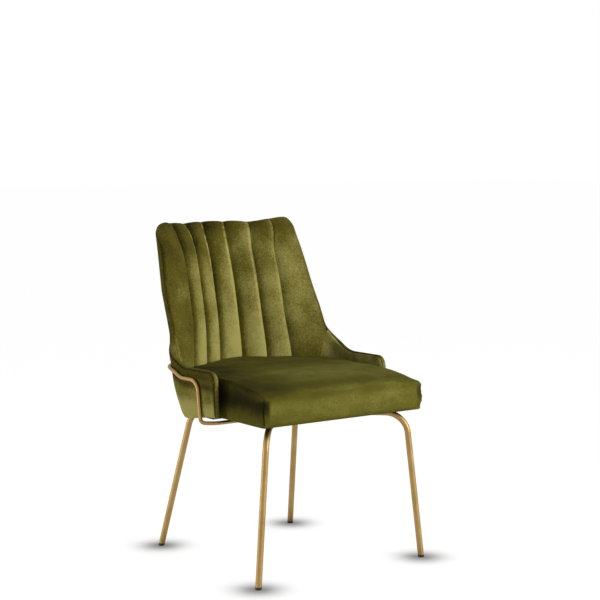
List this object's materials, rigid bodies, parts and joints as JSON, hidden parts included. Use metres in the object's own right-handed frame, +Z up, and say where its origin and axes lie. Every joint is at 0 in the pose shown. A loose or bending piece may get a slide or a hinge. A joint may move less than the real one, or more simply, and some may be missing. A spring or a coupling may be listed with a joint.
{
  "type": "dining chair",
  "caption": "Upholstered tub dining chair: vertically channelled back sweeping down into short arms, boxed seat cushion, bent tube legs and a bent rod round the shell.",
  "frame": {"origin": "centre of the bounding box in plan, on the floor plane under the glides", "axes": "+Z up, -Y towards the front of the seat, +X towards the right when the chair is seen from the front"},
  "size_m": [0.5794, 0.6235, 0.8798],
  "materials": {
    "velvet": "olive green cut-pile velvet over thin wadding",
    "foam": "upholstery foam under the covers",
    "plywood": "moulded and flat birch plywood, unfinished",
    "brass": "satin brass-coloured plating on bent steel",
    "zinc_steel": "zinc-plated screws, nuts and brackets",
    "black_plastic": "moulded black plastic",
    "dust_cloth": "black non-woven cloth"
  },
  "bodies": {
    "root": {"leg_front_left": "brass", "leg_front_right": "brass", "leg_rear_left": "brass", "leg_rear_right": "brass", "glide_front_left": "black_plastic", "glide_front_right": "black_plastic", "glide_rear_left": "black_plastic", "glide_rear_right": "black_plastic", "hub_plate": "brass", "leg_mount_plates": "brass", "leg_screws": "zinc_steel", "tee_nuts": "zinc_steel", "dust_cover": "dust_cloth", "seat_board": "plywood", "seat_foam": "foam", "seat_cover": "velvet", "rear_rail": "plywood", "rail_screws": "zinc_steel", "joint_plates": "zinc_steel", "joint_screws": "zinc_steel", "arm_brackets": "zinc_steel", "bracket_screws": "zinc_steel", "shell_ply": "plywood", "back_foam": "foam", "back_channel_1": "velvet", "back_channel_2": "velvet", "back_channel_3": "velvet", "back_channel_4": "velvet", "back_channel_5": "velvet", "wing_panel_left": "velvet", "wing_panel_right": "velvet", "arm_panel_left": "velvet", "arm_panel_right": "velvet", "edge_band": "velvet", "outer_cover": "velvet", "trim_rod": "brass", "rod_eyes": "brass", "rod_spacers": "black_plastic", "rod_screws": "zinc_steel"}
  },
  "joints": []
}
